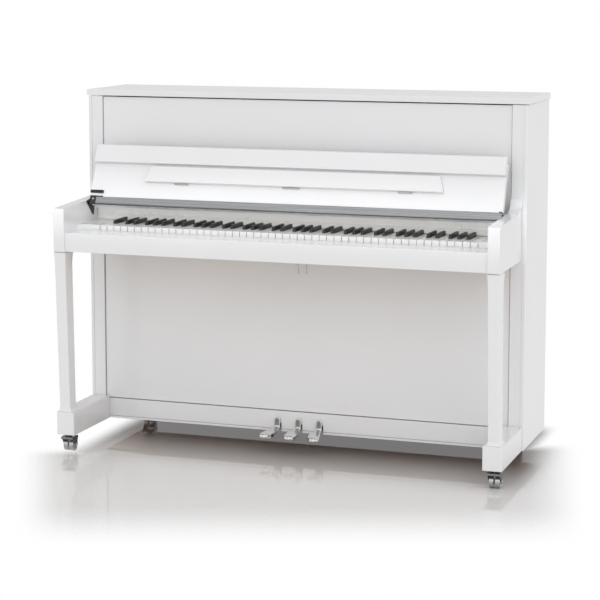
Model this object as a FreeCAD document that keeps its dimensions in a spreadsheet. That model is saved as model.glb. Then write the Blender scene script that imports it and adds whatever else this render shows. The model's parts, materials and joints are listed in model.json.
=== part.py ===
# Upright piano, 114 cm class, with a folding-front fallboard.
# Millimetres. The origin is at the middle of the base, on the floor; +Z is up and the front faces -Y.

import FreeCAD, Part
import os
import Sketcher
from types import SimpleNamespace
from FreeCAD import Placement, Rotation, Vector

doc = FreeCAD.newDocument("upright_piano")

# ---------------------------------------------------------------- driving dimensions

DIMENSIONS = {
    # case
    "total_height": 1140, "total_depth": 610, "case_width": 1450, "case_depth": 314,
    "case_bottom": 58, "side_thick": 35, "stile_width": 37.2, "stile_setback": 1,
    "stile_deep": 29, "lip_thick": 11, "panel_setback": 7, "panel_thick": 18,
    "lid_width": 1460, "lid_thick": 19, "lid_gap": 2, "lid_rear_gap": 4.5,
    "upper_panel_gap": 1.5, "upper_panel_top": 1117, "shelf_top": 779, "shelf_thick": 14,
    "lower_panel_half": 674.8, "lower_panel_bottom": 126, "lower_panel_top": 645,
    "lower_panel_thick": 16, "rail_top": 124, "rail_thick": 20, "rail_groove": 65,
    # arms, legs and toes
    "arm_inner": 675.9, "arm_thick": 35.6, "arm_bottom": 647, "arm_front_top": 784,
    "arm_rear_top": 798, "arm_crest": 835, "arm_sweep": 36, "arm_nose": 8, "arm_step": 4,
    "toe_inner": 661.5, "toe_width": 59.1, "toe_setback": 22.6, "toe_top": 132, "leg_centre": 693.7,
    # keybed and keyboard
    "keybed_bottom": 649, "keybed_thick": 32, "keybed_back": 140,
    "slip_setback": 6, "slip_thick": 20, "ledge_top": 707.7, "ledge_deep": 96, "ledge_thick": 15.7,
    "key_front": 106, "key_top": 723, "key_thick": 22, "key_pitch": 23.5, "key_gap": 1.1,
    "key_length": 289, "head_length": 50, "sharp_length": 92, "sharp_width": 10.5,
    "sharp_height": 12, "keyboard_offset": 10.5, "block_top": 724,
    "nameboard_front": 251, "nameboard_thick": 14, "nameboard_bottom": 731,
    # fallboard
    "lean": 24, "face_y": 112, "face_height": 803, "fall_half": 673.8, "fall_thick": 20,
    "fall_main": 154.4, "fall_tail": 27, "lip_start": 114.7, "lip_end": 174.4, "lip_deep": 14,
    "shelf_start": 53.6, "shelf_end": 105, "shelf_deep": 15, "shelf_half": 481, "strip_proud": 2.5,
    "fall_pivot_y": 99, "fall_pivot_z": 780,
    # pedals
    "pedal_centre": -3, "pedal_pitch": 70, "slot_width": 24, "slot_top": 88, "pivot_radius": 4,
    # casters
    "wheel_diameter": 38, "wheel_wide": 15.5, "wheel_space": 3, "axle_radius": 4, "caster_trail": 12,
}

sheet = doc.addObject("Spreadsheet::Sheet", "Sizes")
for row, (alias, number) in enumerate(DIMENSIONS.items(), start=1):
    sheet.set("A%d" % row, alias.replace("_", " "))
    sheet.set("B%d" % row, str(number))
    sheet.setAlias("B%d" % row, alias)
doc.recompute()


class Size:
    """A length that carries both its value and its formula in the spreadsheet's aliases."""

    def __init__(self, value, text):
        self.value = value
        self.text = text

    def __neg__(self):
        return Size(-self.value, "-(%s)" % self.text)

    def __add__(self, other):
        other = sized(other)
        return Size(self.value + other.value, "(%s + %s)" % (self.text, other.text))

    def __sub__(self, other):
        return self + -sized(other)

    def __mul__(self, factor):
        return Size(self.value * factor, "(%s * %r)" % (self.text, factor))

    def __radd__(self, other):
        return sized(other) + self

    def __rsub__(self, other):
        return sized(other) - self


def sized(length):
    """A Size for a plain number or a Size."""
    return length if isinstance(length, Size) else Size(float(length), repr(float(length)))


d = SimpleNamespace(**{a: Size(float(sheet.get(a)), "Sizes." + a) for a in DIMENSIONS})

# ---------------------------------------------------------------- construction helpers

nodes = []


def node(item, name):
    """Gives a finished sub-part its label and puts it on the list to write out."""
    item.Label = name
    nodes.append(item)
    return item


def block(name, x, y, z):
    """A rectangular board between its low and high x, y and z."""
    box = doc.addObject("Part::Box", name)
    for side, place, (low, high) in (("Length", "x", x), ("Width", "y", y), ("Height", "z", z)):
        low, high = sized(low), sized(high)
        box.setExpression(side, (high - low).text)
        box.setExpression("Placement.Base." + place, low.text)
    return box


def outline(body, role, points, height=0):
    """A closed polygon sketch on one of the body's origin planes; points are pairs of lengths."""
    sketch = body.newObject("Sketcher::SketchObject", body.Name + "_outline")
    plane = [feature for feature in body.Origin.OriginFeatures if feature.Role == role][0]
    sketch.AttachmentSupport = [(plane, "")]
    sketch.MapMode = "FlatFace"
    sketch.AttachmentOffset = Placement(Vector(0, 0, height), Rotation())
    corners = [(sized(a), sized(b)) for a, b in points]
    count = len(corners)
    for i in range(count):
        (a, b), (c, e) = corners[i], corners[(i + 1) % count]
        sketch.addGeometry(Part.LineSegment(Vector(a.value, b.value, 0), Vector(c.value, e.value, 0)))
    for i in range(count):
        sketch.addConstraint(Sketcher.Constraint("Coincident", i, 2, (i + 1) % count, 1))
    for i, (a, b) in enumerate(corners):
        for kind, length in (("DistanceX", a), ("DistanceY", b)):
            index = sketch.addConstraint(Sketcher.Constraint(kind, -1, 1, i, 1, length.value))
            sketch.setExpression("Constraints[%d]" % index, length.text)
    return sketch


def pad(name, role, points, length, base=(0, 0, 0), backwards=False):
    """A PartDesign body: one outline, padded, then placed."""
    body = doc.addObject("PartDesign::Body", name)
    sketch = outline(body, role, points)
    feature = body.newObject("PartDesign::Pad", name + "_pad")
    feature.Profile = sketch
    feature.Reversed = backwards
    feature.setExpression("Length", sized(length).text)
    for axis, length_along in zip("xyz", base):
        body.setExpression("Placement.Base." + axis, sized(length_along).text)
    doc.recompute()
    return body


def round_edges(body, radius, chosen):
    """Fillets the edges of the body's tip for which chosen(edge) is true."""
    tip = body.Tip
    names = ["Edge%d" % (i + 1) for i, edge in enumerate(tip.Shape.Edges) if chosen(edge)]
    fillet = body.newObject("PartDesign::Fillet", body.Name + "_round")
    fillet.Base = (tip, names)
    fillet.setExpression("Radius", sized(radius).text)
    doc.recompute()


def along_x(y, z, reach=0.6):
    """Chooses edges parallel to X that pass through (y, z) in the body's own frame."""
    def chosen(edge):
        ends = [v.Point for v in edge.Vertexes]
        return len(ends) == 2 and all(abs(p.y - y) < reach and abs(p.z - z) < reach for p in ends)
    return chosen


def group(name, shapes, placement=Placement()):
    """Separate solids that share one node."""
    feature = doc.addObject("Part::Feature", name)
    feature.Shape = Part.makeCompound(shapes) if len(shapes) > 1 else shapes[0]
    feature.Placement = placement
    return node(feature, name)


def box(x, y, z):
    """A plain box shape between its low and high x, y and z, as numbers."""
    return Part.makeBox(x[1] - x[0], y[1] - y[0], z[1] - z[0], Vector(x[0], y[0], z[0]))


def rod(start, end, radius):
    """A round bar from start to end."""
    start, end = Vector(*start), Vector(*end)
    return Part.makeCylinder(radius, (end - start).Length, start, end - start)


def extruded(points, plane, start, depth):
    """A polygon pushed along the third axis: plane is "xy", "yz" or "xz", points lie in it."""
    spots = {"xy": lambda a, b: Vector(a, b, start), "yz": lambda a, b: Vector(start, a, b),
             "xz": lambda a, b: Vector(a, start, b)}
    push = {"xy": Vector(0, 0, depth), "yz": Vector(depth, 0, 0), "xz": Vector(0, depth, 0)}
    corners = [spots[plane](a, b) for a, b in points]
    return Part.Face(Part.makePolygon(corners + corners[:1])).extrude(push[plane])


# ---------------------------------------------------------------- planes that many parts share

back = d.total_depth * 0.5
front = -back
case_front = back - d.case_depth
half = d.case_width * 0.5
stile_front = case_front + d.stile_setback
stile_outer = half - d.lip_thick
stile_inner = stile_outer - d.stile_width
board_top = d.total_height - d.lid_thick - d.lid_gap
panel_front = case_front + d.panel_setback
keybed_top = d.keybed_bottom + d.keybed_thick
key_front = front + d.key_front

# ---------------------------------------------------------------- case

for name, sign in (("left_side", -1), ("right_side", 1)):
    # A board with a rebate at its front inner corner, which the stile stands in.
    inner = half - d.side_thick
    plan = [(half * sign, case_front), (half * sign, back), (inner * sign, back),
            (inner * sign, stile_front + d.stile_deep), (stile_outer * sign, stile_front + d.stile_deep),
            (stile_outer * sign, case_front)]
    side = pad(name, "XY_Plane", plan, board_top - d.case_bottom, base=(0, 0, d.case_bottom))
    outer_front = (half.value * sign, case_front.value)
    round_edges(side, 4, lambda edge: len(edge.Vertexes) == 2 and all(
        abs(v.X - outer_front[0]) < 0.1 and abs(v.Y - outer_front[1]) < 0.1 for v in edge.Vertexes))
    node(side, name)

node(doc.addObject("Part::Compound", "stiles"), "stiles").Links = [
    block("stile", ends, (stile_front, stile_front + d.stile_deep), (d.case_bottom, board_top))
    for ends in ((-stile_outer, -stile_inner), (stile_inner, stile_outer))]

# Each arm sweeps up to the stile behind, and holds a blind bore for the fallboard's pivot pin.
crest_front = stile_front - d.arm_step
ARM_PROFILE = [(front, d.arm_bottom), (stile_front, d.arm_bottom), (stile_front, d.arm_crest),
               (crest_front, d.arm_crest), (crest_front, d.arm_rear_top), (front, d.arm_front_top)]
PIN_CLEARANCE = 0.06
BORE_DEEP = 12
for name, start, bore_start in (("left_arm", -(d.arm_inner + d.arm_thick), -d.arm_inner - BORE_DEEP),
                                ("right_arm", d.arm_inner, d.arm_inner)):
    arm = pad(name + "_board", "YZ_Plane", ARM_PROFILE, d.arm_thick, base=(start, 0, 0))
    round_edges(arm, d.arm_sweep, along_x(crest_front.value, d.arm_rear_top.value))
    round_edges(arm, d.arm_nose, along_x(front.value, d.arm_front_top.value))
    round_edges(arm, 4, along_x(front.value, d.arm_bottom.value))
    bore = doc.addObject("Part::Cylinder", name + "_bore")
    bore.Placement = Placement(Vector(), Rotation(Vector(0, 1, 0), 90))
    bore.setExpression("Radius", (d.pivot_radius + PIN_CLEARANCE).text)
    bore.Height = BORE_DEEP
    bore.setExpression("Placement.Base.x", bore_start.text)
    bore.setExpression("Placement.Base.y", (-d.fall_pivot_y).text)
    bore.setExpression("Placement.Base.z", d.fall_pivot_z.text)
    bored = doc.addObject("Part::Cut", name)
    bored.Base = arm
    bored.Tool = bore
    node(bored, name)

# Each leg is a tapered post with a flared foot and head, and a narrow neck just below the arm.
# Each section is its height, its width along X, the distance of its front from the middle, and its depth.
LEG_SECTIONS = ((132, 51, 280.6, 66), (136, 43, 279.6, 56), (141, 38, 278.6, 49), (149, 35, 277.5, 44),
                (606, 36, 298.5, 52), (632, 38, 300, 56), (644.5, 40, 302, 62), (645, 33, 298, 54),
                (647, 33, 298, 54))
for name, sign in (("left_leg", -1), ("right_leg", 1)):
    leg = doc.addObject("PartDesign::Body", name)
    loft_sketches = []
    for height, width, leg_front, deep in LEG_SECTIONS:
        low, high = d.leg_centre * sign - width / 2, d.leg_centre * sign + width / 2
        leg_back = deep - leg_front
        section = [(low, -leg_front), (high, -leg_front), (high, leg_back), (low, leg_back)]
        loft_sketches.append(outline(leg, "XY_Plane", section, height))
    loft = leg.newObject("PartDesign::AdditiveLoft", name + "_loft")
    loft.Profile = loft_sketches[0]
    loft.Sections = loft_sketches[1:]
    loft.Ruled = True
    doc.recompute()
    node(leg, name)

for name, sides in (("left_toe", (-(d.toe_inner + d.toe_width), -d.toe_inner)),
                    ("right_toe", (d.toe_inner, d.toe_inner + d.toe_width))):
    node(block(name, sides, (front + d.toe_setback, case_front), (d.case_bottom, d.toe_top)), name)

node(block("upper_panel", (-(stile_inner - d.upper_panel_gap), stile_inner - d.upper_panel_gap),
           (panel_front, panel_front + d.panel_thick), (d.shelf_top, d.upper_panel_top)), "upper_panel")
node(block("lower_panel", (-d.lower_panel_half, d.lower_panel_half),
           (panel_front, panel_front + d.lower_panel_thick),
           (d.lower_panel_bottom, d.lower_panel_top)), "lower_panel")

# The bottom rail has a groove along its foot and three arched slots, open below, for the pedals.
GROOVE_HIGH, GROOVE_DEEP, SLOT_RISE = 1.6, 5, 5
groove_back = stile_front + GROOVE_DEEP
rail = pad("bottom_rail", "YZ_Plane",
           [(stile_front, d.case_bottom), (stile_front + d.rail_thick, d.case_bottom),
            (stile_front + d.rail_thick, d.rail_top), (stile_front, d.rail_top),
            (stile_front, d.rail_groove + GROOVE_HIGH), (groove_back, d.rail_groove + GROOVE_HIGH),
            (groove_back, d.rail_groove), (stile_front, d.rail_groove)],
           stile_inner * 2, base=(-stile_inner, 0, 0))
slot = rail.newObject("Sketcher::SketchObject", "slot_outline")
slot.AttachmentSupport = [([f for f in rail.Origin.OriginFeatures if f.Role == "XZ_Plane"][0], "")]
slot.MapMode = "FlatFace"
slot_x = stile_inner.value + d.pedal_centre.value - d.pedal_pitch.value
slot_left, slot_right = slot_x - d.slot_width.value / 2, slot_x + d.slot_width.value / 2
low_left = Vector(slot_left, d.case_bottom.value - 1, 0)
low_right = Vector(slot_right, d.case_bottom.value - 1, 0)
high_left = Vector(slot_left, d.slot_top.value - SLOT_RISE, 0)
high_right = Vector(slot_right, d.slot_top.value - SLOT_RISE, 0)
slot.addGeometry(Part.LineSegment(low_left, low_right))
slot.addGeometry(Part.LineSegment(low_right, high_right))
slot.addGeometry(Part.Arc(high_right, Vector(slot_x, d.slot_top.value, 0), high_left))
slot.addGeometry(Part.LineSegment(high_left, low_left))
doc.recompute()
pocket = rail.newObject("PartDesign::Pocket", "slot_cut")
pocket.Profile = slot
pocket.Type = "ThroughAll"
pocket.Midplane = True
doc.recompute()
slots = rail.newObject("PartDesign::LinearPattern", "slots")
slots.Originals = [pocket]
slots.Direction = ([f for f in rail.Origin.OriginFeatures if f.Role == "X_Axis"][0], [""])
slots.setExpression("Length", (d.pedal_pitch * 2).text)
slots.Occurrences = 3
rail.Tip = slots
doc.recompute()
node(rail, "bottom_rail")

node(block("bottom_board", (-(half - d.side_thick), half - d.side_thick), (40, 248),
           (d.case_bottom, d.case_bottom + 18)), "bottom_board")

# ---------------------------------------------------------------- keybed and keyboard surround

inside = d.arm_inner
slip_front = front + d.slip_setback
node(block("keybed", (-inside, inside), (slip_front + d.slip_thick, d.keybed_back),
           (d.keybed_bottom, keybed_top)), "keybed")
ledge_back = slip_front + d.ledge_deep
keyslip = pad("keyslip", "YZ_Plane",
              [(slip_front, d.keybed_bottom), (slip_front + d.slip_thick, d.keybed_bottom),
               (slip_front + d.slip_thick, d.ledge_top - d.ledge_thick),
               (ledge_back, d.ledge_top - d.ledge_thick),
               (ledge_back, d.ledge_top), (slip_front, d.ledge_top)],
              inside * 2, base=(-inside, 0, 0))
round_edges(keyslip, 2.5, along_x(slip_front.value, d.ledge_top.value))
node(keyslip, "keyslip")

keys_wide = d.key_pitch * 52
keys_left = d.keyboard_offset - keys_wide * 0.5
keys_right = d.keyboard_offset + keys_wide * 0.5
node(doc.addObject("Part::Compound", "key_blocks"), "key_blocks").Links = [
    block("key_block", ends, (key_front - 2, 60), (keybed_top, d.block_top))
    for ends in ((-inside, keys_left - 1), (keys_right + 1, inside))]

name_front = front + d.nameboard_front
name_back = name_front + d.nameboard_thick
shelf_bottom = d.shelf_top - d.shelf_thick
bead_low, bead_high = d.nameboard_bottom + 10, d.nameboard_bottom + 14
node(pad("nameboard", "YZ_Plane",
         [(name_front, d.nameboard_bottom), (name_back, d.nameboard_bottom), (name_back, shelf_bottom),
          (name_front, shelf_bottom), (name_front, bead_high), (name_front - 3, bead_high),
          (name_front - 3, bead_low), (name_front, bead_low)],
         inside * 2, base=(-inside, 0, 0)), "nameboard")
shelf_reach = inside - 1.6
node(block("fallboard_shelf", (-shelf_reach, shelf_reach), (-86, panel_front + d.panel_thick),
           (shelf_bottom, d.shelf_top)), "fallboard_shelf")

# ---------------------------------------------------------------- lid

hinge_y = back.value - 2
lid_low = d.total_height.value - d.lid_thick.value
lid = pad("lid", "YZ_Plane",
          [(case_front - 1, d.total_height - d.lid_thick),
           (back - d.lid_rear_gap, d.total_height - d.lid_thick),
           (back - d.lid_rear_gap, d.total_height), (case_front - 1, d.total_height)],
          d.lid_width, base=(d.lid_width * -0.5, 0, 0))
round_edges(lid, 2, along_x(case_front.value - 1, d.total_height.value))
node(lid, "lid")

KNUCKLES = 30
LEAF_REACH, LEAF_THICK, KNUCKLE_RADIUS, HINGE_PIN_RADIUS = 20, 0.8, 2, 1
hinge_half = half.value - d.side_thick.value - 5
knuckle_long = 2 * hinge_half / KNUCKLES


def hinge_leaf(first, low):
    """A leaf of the lid's long hinge with every second knuckle, around the pin on the hinge line."""
    leaf = box((-hinge_half, hinge_half), (hinge_y - LEAF_REACH, hinge_y - 2.4), (low, low + LEAF_THICK))
    knuckles = []
    for index in range(first, KNUCKLES, 2):
        start = -hinge_half + index * knuckle_long + 0.2
        end = start + knuckle_long - 0.4
        knuckles.append(rod((start, hinge_y, lid_low), (end, hinge_y, lid_low), KNUCKLE_RADIUS))
        knuckles.append(box((start, end), (hinge_y - 2.6, hinge_y - 1.2), (low, low + LEAF_THICK)))
    hole = rod((-hinge_half - 1, hinge_y, lid_low), (hinge_half + 1, hinge_y, lid_low),
               HINGE_PIN_RADIUS + 0.05)
    return leaf.fuse(knuckles).removeSplitter().cut(hole)


hinge_pin = rod((-hinge_half, hinge_y, lid_low), (hinge_half, hinge_y, lid_low), HINGE_PIN_RADIUS)
group("lid_hinge", [hinge_leaf(0, board_top.value), hinge_pin])
group("lid_hinge_leaf", [hinge_leaf(1, lid_low - LEAF_THICK)])

# ---------------------------------------------------------------- fallboard, in its own frame
# Own frame: z runs up the board from the top of its metal strip, and -y is the side that faces the player.

tilt = Rotation(Vector(1, 0, 0), -d.lean.value)
lean = Placement(Vector(0, -d.face_y.value, d.face_height.value), tilt)
fall_half = d.fall_half.value
fall_pivot = lean.inverse().multVec(Vector(0, -d.fall_pivot_y.value, d.fall_pivot_z.value))
LEVER_INNER, LEVER_OUTER, NOTCH_GAP = 664, 668, 0.4
STRIP_THICK, FLANGE_REACH, NOTCH_TOP = 1.5, 630, 4


def leaning(name, role, points, thick, x_start=0, backwards=False):
    """A board drawn in the fallboard's own frame, then stood at its place and lean."""
    board = pad(name, role, points, thick, base=(x_start, -d.face_y, d.face_height), backwards=backwards)
    board.Placement = Placement(board.Placement.Base, tilt)
    doc.recompute()
    return board


def joined(kind, name, base, tool):
    """Part::Fuse or Part::Cut of two objects, as a node."""
    result = doc.addObject("Part::" + kind, name)
    result.Base, result.Tool = base, tool
    return node(result, name)


def lip_hinge_rod(name, radius, reach):
    """A round rod on the lip's hinge line, along the board's top front edge."""
    cylinder = doc.addObject("Part::Cylinder", name)
    cylinder.Radius = radius
    cylinder.Height = 2 * reach
    along_board = Placement(Vector(-reach, 0, d.fall_main.value), Rotation(Vector(0, 1, 0), 90))
    cylinder.Placement = lean.multiply(along_board)
    return cylinder


# The board has a notch at each lower end, where its steel lever sits, and a bead that the lip turns on.
LIP_BEAD = 1.5
notch_x = sized(LEVER_INNER - NOTCH_GAP)
board = leaning("fall_panel", "XZ_Plane",
        [(-notch_x, -d.fall_tail), (notch_x, -d.fall_tail), (notch_x, NOTCH_TOP), (d.fall_half, NOTCH_TOP),
         (d.fall_half, d.fall_main), (-d.fall_half, d.fall_main), (-d.fall_half, NOTCH_TOP),
         (-notch_x, NOTCH_TOP)],
        d.fall_thick, backwards=True)
joined("Fuse", "fallboard", board, lip_hinge_rod("lip_bead", LIP_BEAD, fall_half - 2))
lip_half = d.fall_half - 0.5
lip_board = leaning("lip_board", "YZ_Plane",
        [(-d.lip_deep, d.lip_start), (-0.3, d.lip_start), (-0.3, d.lip_end),
         (-d.lip_deep + 5, d.lip_end), (-d.lip_deep, d.lip_end - 5)], lip_half * 2, x_start=-lip_half)
lip_groove = lip_hinge_rod("lip_groove", LIP_BEAD + PIN_CLEARANCE, fall_half + 2)
joined("Cut", "fallboard_lip", lip_board, lip_groove)

strip_half = fall_half - 0.5
strip_front, strip_back = -d.strip_proud.value, -d.strip_proud.value + STRIP_THICK
strip_face = extruded([(strip_front, -d.fall_tail.value), (strip_back, -d.fall_tail.value), (strip_back, 0),
                       (strip_front + 0.8, 0), (strip_front, -2)], "yz", -strip_half, 2 * strip_half)
web_half = FLANGE_REACH - NOTCH_GAP
strip_web = box((-web_half, web_half), (strip_back, 0), (-d.fall_tail.value, 0))
group("fallboard_strip", [strip_face.fuse(strip_web).removeSplitter()], lean)

# Each steel lever has a flange on the board's face, and a pin that turns in the arm.
LEVER_BEHIND, LEVER_TAIL, PIN_REACH = 6, 25.5, 9
lever_solids = []
for sign, flange_top in ((-1, NOTCH_TOP - 0.4), (1, -0.5)):
    web_x = sorted((sign * LEVER_INNER, sign * LEVER_OUTER))
    flange_x = sorted((sign * FLANGE_REACH, sign * strip_half))
    web = box(web_x, (strip_back, fall_pivot.y + LEVER_BEHIND), (-LEVER_TAIL, NOTCH_TOP - 0.4))
    flange = box(flange_x, (strip_back, 0), (-LEVER_TAIL, flange_top))
    pin = rod((sign * LEVER_INNER, fall_pivot.y, fall_pivot.z),
              (sign * (d.arm_inner.value + PIN_REACH), fall_pivot.y, fall_pivot.z), d.pivot_radius.value)
    lever_solids.append(web.fuse([flange, pin]).removeSplitter())
rest_pad = box((-fall_half + 0.5, -FLANGE_REACH), (-6, 0), (12, 21))
group("fallboard_levers", lever_solids + [rest_pad], lean)

# The music shelf folds down on three small hinges below it.
HINGE_SPOTS = ((-366, 47), (0, 57), (368, 46))
HINGE_BARREL, SHELF_PIVOT_Y, SHELF_PIVOT_DROP = 1.8, -2.2, 2
shelf_half = d.shelf_half.value
shelf_low, shelf_high = d.shelf_start.value, d.shelf_end.value
flap_points = [(-shelf_half - 8, shelf_low), (shelf_half + 8, shelf_low),
               (shelf_half - 8, shelf_high), (-shelf_half + 8, shelf_high)]
group("music_shelf", [extruded(flap_points, "xz", -d.shelf_deep.value, d.shelf_deep.value - 0.5)], lean)
shelf_hinge_solids = []
for middle, wide in HINGE_SPOTS:
    low, high = middle - wide / 2, middle + wide / 2
    barrel_z = shelf_low - SHELF_PIVOT_DROP
    barrel = rod((low, SHELF_PIVOT_Y, barrel_z), (high, SHELF_PIVOT_Y, barrel_z), HINGE_BARREL)
    leaf = box((low, high), (-1, 0), (barrel_z - 4, barrel_z))
    shelf_hinge_solids.append(barrel.fuse(leaf).removeSplitter())
group("shelf_hinges", shelf_hinge_solids, lean)

# ---------------------------------------------------------------- soft-closing units in the arms

DAMPER_OUTLINE = [(-141, 791), (-108, 797), (-82, 786), (-76, 778), (-87, 741), (-97, 745)]
PLATE_PROUD = 1.4
plates = []
for start in (-inside.value, inside.value - PLATE_PROUD):
    plate = extruded(DAMPER_OUTLINE, "yz", start, PLATE_PROUD)
    eye = rod((start - 1, -d.fall_pivot_y.value, d.fall_pivot_z.value),
              (start + PLATE_PROUD + 1, -d.fall_pivot_y.value, d.fall_pivot_z.value),
              d.pivot_radius.value + 0.5)
    plates.append(plate.cut(eye))
group("damper_unit", plates)

# ---------------------------------------------------------------- spring catch of the lower panel

CATCH_X, CATCH_HALF, POST_WIDE = 5, 16, 5
catch_front, catch_back = panel_front.value - 5, panel_front.value - 0.3
posts = [box((CATCH_X + a, CATCH_X + a + POST_WIDE), (catch_front, catch_back), (570, 598))
         for a in (-CATCH_HALF, CATCH_HALF - POST_WIDE)]
bridge = box((CATCH_X - CATCH_HALF, CATCH_X + CATCH_HALF), (catch_front + 2, catch_back), (597, 607))
group("panel_catch", [bridge.fuse(posts).removeSplitter()])

# ---------------------------------------------------------------- keys

SECTIONS = (("bass", 0, 20), ("tenor", 20, 51), ("treble", 51, 88))
OCTAVE_SHARPS = (1, 3, 6, 8, 10)
NATURAL_STEP = {0: 0, 2: 1, 4: 2, 5: 3, 7: 4, 9: 5, 11: 6}
pitch = d.key_pitch.value
semitone = pitch * 7 / 12
gap = d.key_gap.value
key_y = key_front.value
key_low = d.key_top.value - d.key_thick.value
first_c = keys_left.value + 2 * pitch


def key_place(index):
    """(octave's left end, step within the octave) of the key; index 0 is the lowest A."""
    octave, step = divmod(index + 9, 12)
    return first_c + (octave - 1) * 7 * pitch, step


def is_sharp(index):
    return key_place(index)[1] in OCTAVE_SHARPS


def sharp_span(index):
    """Low and high x of a sharp."""
    octave_x, step = key_place(index)
    middle = octave_x + (step + 0.5) * semitone
    return middle - d.sharp_width.value / 2, middle + d.sharp_width.value / 2


def natural(index):
    """A white key: full-width head, and a tail that passes between the sharps."""
    octave_x, step = key_place(index)
    low = octave_x + NATURAL_STEP[step] * pitch + gap / 2
    high = low + pitch - gap
    tail_low, tail_high = low, high
    if index > 0 and is_sharp(index - 1):
        tail_low = sharp_span(index - 1)[1] + gap
    if index < 87 and is_sharp(index + 1):
        tail_high = sharp_span(index + 1)[0] - gap
    neck, tail = key_y + d.head_length.value, key_y + d.key_length.value
    plan = [(low, key_y), (high, key_y), (high, neck), (tail_high, neck), (tail_high, tail),
            (tail_low, tail), (tail_low, neck), (low, neck)]
    corners = [c for i, c in enumerate(plan) if c != plan[i - 1]]
    return extruded(corners, "xy", key_low, d.key_thick.value)


def sharp(index):
    """A black key: a stick, and a cap with a sloping front and leaning sides."""
    low, high = sharp_span(index)
    start = key_y + d.head_length.value + 1
    end = start + d.sharp_length.value
    top = d.key_top.value
    crown = top + d.sharp_height.value
    stick = box((low, high), (start, key_y + d.key_length.value), (key_low, top))
    base = [Vector(low, start, top), Vector(high, start, top), Vector(high, end, top),
            Vector(low, end, top)]
    crest = [Vector(low + 1.2, start + 5, crown), Vector(high - 1.2, start + 5, crown),
             Vector(high - 1.2, end, crown), Vector(low + 1.2, end, crown)]
    cap = Part.makeLoft([Part.makePolygon(ring + ring[:1]) for ring in (base, crest)], True, True)
    return stick.fuse(cap).removeSplitter()


for section, first, last in SECTIONS:
    group("white_keys_" + section, [natural(i) for i in range(first, last) if not is_sharp(i)])
    group("black_keys_" + section, [sharp(i) for i in range(first, last) if is_sharp(i)])

# ---------------------------------------------------------------- action
# The hammers, dampers and strings of each section share the same places across the piano.

HAMMER_ROWS = {"bass": (-592, -345, 58), "tenor": (-290, 85, 66.5), "treble": (122, 608, 66.5)}
BUTT_Y, BUTT_Z, SHANK, REST_TILT, HAMMER_ROD = 96, 862, 118, 17, 1.5
STRUTS = (-318.5, 103.5)


def spots(section):
    """Evenly spaced hammer positions of a section."""
    low, high, _ = HAMMER_ROWS[section]
    first, last = [(a, b) for name, a, b in SECTIONS if name == section][0]
    return [low + (high - low) * i / (last - first - 1) for i in range(last - first)]


def hammer(x, nose):
    """Butt, shank and felt head, drawn upright at the strings, then tilted back to rest."""
    butt = extruded([(-8, -6), (8, -6), (5, 14), (-5, 14)], "yz", x - 4, 8)
    shank = rod((x, 0, 10), (x, 0, SHANK), 2.2)
    head = extruded([(-8, SHANK - 8), (20, SHANK - 11), (nose - 9, SHANK - 7), (nose, SHANK),
                     (nose - 9, SHANK + 7), (20, SHANK + 11), (-8, SHANK + 8)], "yz", x - 4.2, 8.4)
    centre = rod((x - 5, 0, 0), (x + 5, 0, 0), HAMMER_ROD + PIN_CLEARANCE)
    piece = butt.fuse([shank, head]).removeSplitter().cut(centre)
    piece.Placement = Placement(Vector(0, BUTT_Y, BUTT_Z), Rotation(Vector(1, 0, 0), REST_TILT))
    return piece


for section in HAMMER_ROWS:
    group("hammers_" + section, [hammer(x, HAMMER_ROWS[section][2]) for x in spots(section)])

FRAME_ENDS = (-612, 622)
bracket_side = [(92, keybed_top.value), (128, keybed_top.value), (128, 1000), (116, 1000), (112, 900),
                (92, 876)]
bracket_x = FRAME_ENDS[:1] + tuple(x - 3 for x in STRUTS) + FRAME_ENDS[1:]
main_rail = box((FRAME_ENDS[0] + 2, FRAME_ENDS[1] + 4), (113, 127.9), (826, 852))
rest_rail = box((FRAME_ENDS[0] + 2, FRAME_ENDS[1] + 4), (46, 64), (938, 954))
hammer_rod = rod((FRAME_ENDS[0], BUTT_Y, BUTT_Z), (FRAME_ENDS[1] + 6, BUTT_Y, BUTT_Z), HAMMER_ROD)
brackets = []
for x in bracket_x:
    brackets += [extruded(bracket_side, "yz", x, 6), box((x, x + 6), (46, 120), (954, 966))]
skeleton = hammer_rod.fuse(brackets).removeSplitter().cut(main_rail)

# The keys rock on a round-topped rail, whose axis is their pivot.
BALANCE_Y, BALANCE_Z = 36, 690
balance_radius = key_low - BALANCE_Z - 0.05
balance_rail = rod((keys_left.value, BALANCE_Y, BALANCE_Z), (keys_right.value, BALANCE_Y, BALANCE_Z),
                   balance_radius)
balance_rail = balance_rail.common(box((-700, 700), (0, 80), (keybed_top.value, key_low)))
group("action_frame", [skeleton, main_rail, rest_rail, balance_rail])

# The lowest twelve treble notes still have dampers.
DAMPED = {"bass": 20, "tenor": 31, "treble": 12}
damper_solids = [box((-600, 600), (134, 142), (868, 880))]
for section, count in DAMPED.items():
    felt_front = 154.8 if section == "bass" else 163.6
    damper_solids += [box((x - 4, x + 4), (142, felt_front), (880, 912)) for x in spots(section)[:count]]
group("dampers", damper_solids)
group("muffler_rail", [box((-600, 600), (118, 136), (1045, 1062)),
                       box((-598, 598), (136, 139), (1032, 1062))])

# ---------------------------------------------------------------- back: frame, soundboard, plate and strings

inner_half = half.value - d.side_thick.value
frame_y = (248, back.value)
POST_SPOTS = (-600, -300, 0, 300, 600)
group("back_frame", [box((-inner_half, inner_half), frame_y, (d.case_bottom.value, 130)),
                     box((-inner_half, inner_half), frame_y, (1040, board_top.value))]
      + [box((x - 35, x + 35), frame_y, (130, 1040)) for x in POST_SPOTS])

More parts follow.
